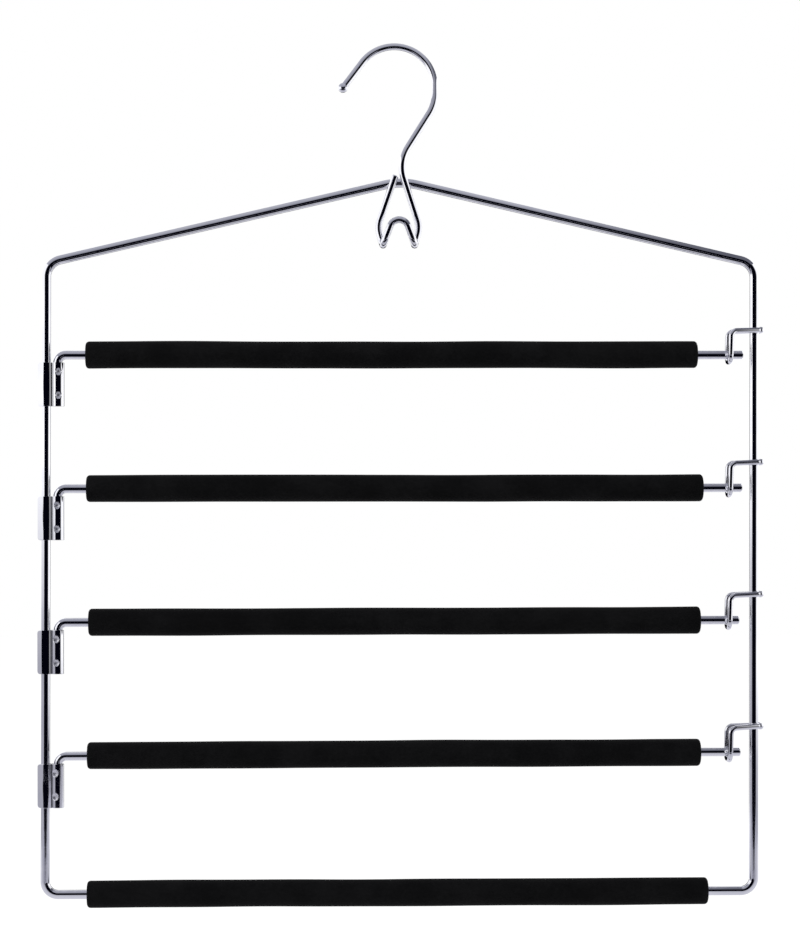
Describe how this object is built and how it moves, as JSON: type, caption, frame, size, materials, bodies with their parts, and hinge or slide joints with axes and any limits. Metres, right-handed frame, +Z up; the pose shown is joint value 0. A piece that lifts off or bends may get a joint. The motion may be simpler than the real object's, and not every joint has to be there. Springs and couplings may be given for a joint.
{
  "type": "trouser hanger",
  "caption": "Tall chromed wire trouser hanger whose foam-clad arms swing out from hinge clips on one side and rest in wire forks on the other, hung by a ball-tipped hook.",
  "frame": {"origin": "seat of the hook: the underside of its crook, in the middle of its wire, where a wardrobe rail touches it", "axes": "+Z up, +X from the hinge side to the fork side, +Y to the back; the front, with the folded arch and the dimples of the clips, faces -Y"},
  "size_m": [0.3698, 0.0211, 0.4408],
  "materials": {
    "chromed_wire": "bright polished chrome plate on steel wire",
    "chromed_sheet": "bright chrome plate on folded steel sheet",
    "black_foam": "matt black closed-cell foam rubber"
  },
  "bodies": {
    "frame": {"frame_wire": "chromed_wire", "hanging_hook": "chromed_wire", "hinge_clip_1": "chromed_sheet", "hinge_clip_2": "chromed_sheet", "hinge_clip_3": "chromed_sheet", "hinge_clip_4": "chromed_sheet", "arm_fork_1": "chromed_wire", "arm_fork_2": "chromed_wire", "arm_fork_3": "chromed_wire", "arm_fork_4": "chromed_wire", "foam_sleeve_5": "black_foam"},
    "arm_1": {"swing_arm_1": "chromed_wire", "foam_sleeve_1": "black_foam"},
    "arm_2": {"swing_arm_2": "chromed_wire", "foam_sleeve_2": "black_foam"},
    "arm_3": {"swing_arm_3": "chromed_wire", "foam_sleeve_3": "black_foam"},
    "arm_4": {"swing_arm_4": "chromed_wire", "foam_sleeve_4": "black_foam"}
  },
  "joints": [
    {"name": "arm_1_swing", "type": "hinge", "parent": "frame", "child": "arm_1", "pos_m": [-0.17175, -0.00272, -0.15605], "axis": [0, 0, 1], "range_deg": [-120, 120]},
    {"name": "arm_2_swing", "type": "hinge", "parent": "frame", "child": "arm_2", "pos_m": [-0.17175, -0.00272, -0.22405], "axis": [0, 0, 1], "range_deg": [-120, 120]},
    {"name": "arm_3_swing", "type": "hinge", "parent": "frame", "child": "arm_3", "pos_m": [-0.17175, -0.00272, -0.29205], "axis": [0, 0, 1], "range_deg": [-120, 120]},
    {"name": "arm_4_swing", "type": "hinge", "parent": "frame", "child": "arm_4", "pos_m": [-0.17175, -0.00272, -0.36005], "axis": [0, 0, 1], "range_deg": [-120, 120]}
  ]
}
